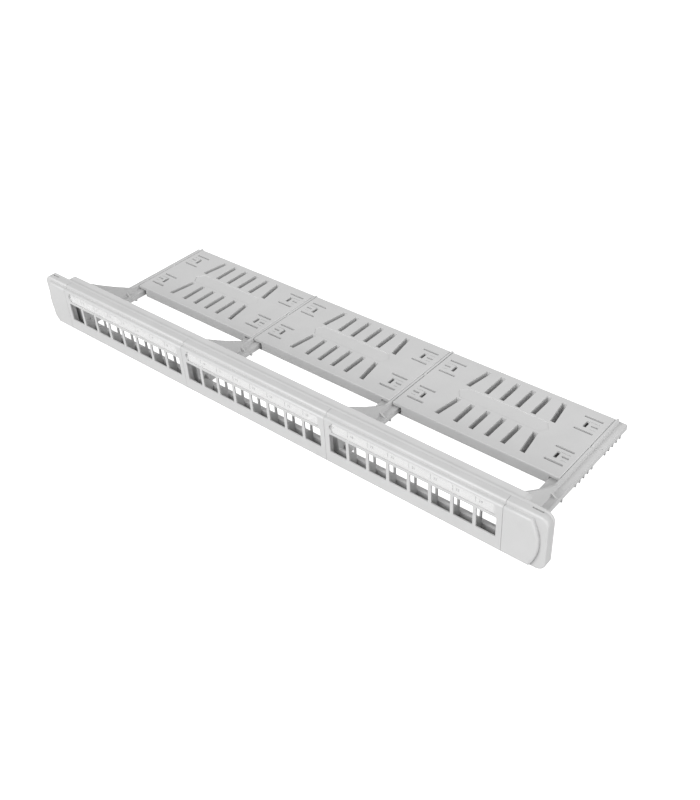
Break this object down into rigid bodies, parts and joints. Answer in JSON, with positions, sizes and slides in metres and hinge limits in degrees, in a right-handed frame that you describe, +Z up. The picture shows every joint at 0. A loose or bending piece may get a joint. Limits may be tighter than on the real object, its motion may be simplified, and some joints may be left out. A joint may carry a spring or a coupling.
{
  "type": "patch panel",
  "caption": "Modular keystone patch panel one rack unit high, with snap-in port modules, label windows, end covers and slotted cable trays on rear arms.",
  "frame": {"origin": "centre of the four rack holes, on the back face of the mounting ears, where the panel meets the rack rails", "axes": "+X along the panel, to the right as seen from the front; +Y backwards into the rack; +Z up"},
  "size_m": [0.4826, 0.1539, 0.0436],
  "materials": {
    "frame_plastic": "fine-grained light grey moulding",
    "front_plastic": "satin light grey moulding",
    "arm_plastic": "fine-grained light grey moulding",
    "tray_plastic": "fine-grained light grey moulding",
    "label_paper": "printed card",
    "clear_plastic": "clear"
  },
  "bodies": {
    "frame_assembly": {"frame": "frame_plastic", "support_arm_1": "arm_plastic", "support_arm_2": "arm_plastic", "support_arm_3": "arm_plastic", "support_arm_4": "arm_plastic"},
    "module_1": {"port_module_1": "front_plastic", "label_strip_1": "label_paper"},
    "label_window_1": {"label_cover_1": "clear_plastic"},
    "tray_1": {"cable_tray_1": "tray_plastic"},
    "module_2": {"port_module_2": "front_plastic", "label_strip_2": "label_paper"},
    "label_window_2": {"label_cover_2": "clear_plastic"},
    "tray_2": {"cable_tray_2": "tray_plastic"},
    "module_3": {"port_module_3": "front_plastic", "label_strip_3": "label_paper"},
    "label_window_3": {"label_cover_3": "clear_plastic"},
    "tray_3": {"cable_tray_3": "tray_plastic"},
    "cover_left": {"end_cover_left": "front_plastic"},
    "cover_right": {"end_cover_right": "front_plastic"}
  },
  "joints": [
    {"name": "module_1_pull_out", "type": "slide", "parent": "frame_assembly", "child": "module_1", "axis": [0, -1, 0], "range_m": [0, 0.025]},
    {"name": "label_window_1_pull_out", "type": "slide", "parent": "module_1", "child": "label_window_1", "axis": [0, -1, 0], "range_m": [0, 0.008]},
    {"name": "tray_1_lift_off", "type": "slide", "parent": "frame_assembly", "child": "tray_1", "axis": [0, 0, 1], "range_m": [0, 0.03]},
    {"name": "module_2_pull_out", "type": "slide", "parent": "frame_assembly", "child": "module_2", "axis": [0, -1, 0], "range_m": [0, 0.025]},
    {"name": "label_window_2_pull_out", "type": "slide", "parent": "module_2", "child": "label_window_2", "axis": [0, -1, 0], "range_m": [0, 0.008]},
    {"name": "tray_2_lift_off", "type": "slide", "parent": "frame_assembly", "child": "tray_2", "axis": [0, 0, 1], "range_m": [0, 0.03]},
    {"name": "module_3_pull_out", "type": "slide", "parent": "frame_assembly", "child": "module_3", "axis": [0, -1, 0], "range_m": [0, 0.025]},
    {"name": "label_window_3_pull_out", "type": "slide", "parent": "module_3", "child": "label_window_3", "axis": [0, -1, 0], "range_m": [0, 0.008]},
    {"name": "tray_3_lift_off", "type": "slide", "parent": "frame_assembly", "child": "tray_3", "axis": [0, 0, 1], "range_m": [0, 0.03]},
    {"name": "cover_left_pull_off", "type": "slide", "parent": "frame_assembly", "child": "cover_left", "axis": [0, -1, 0], "range_m": [0, 0.02]},
    {"name": "cover_right_pull_off", "type": "slide", "parent": "frame_assembly", "child": "cover_right", "axis": [0, -1, 0], "range_m": [0, 0.02]}
  ]
}
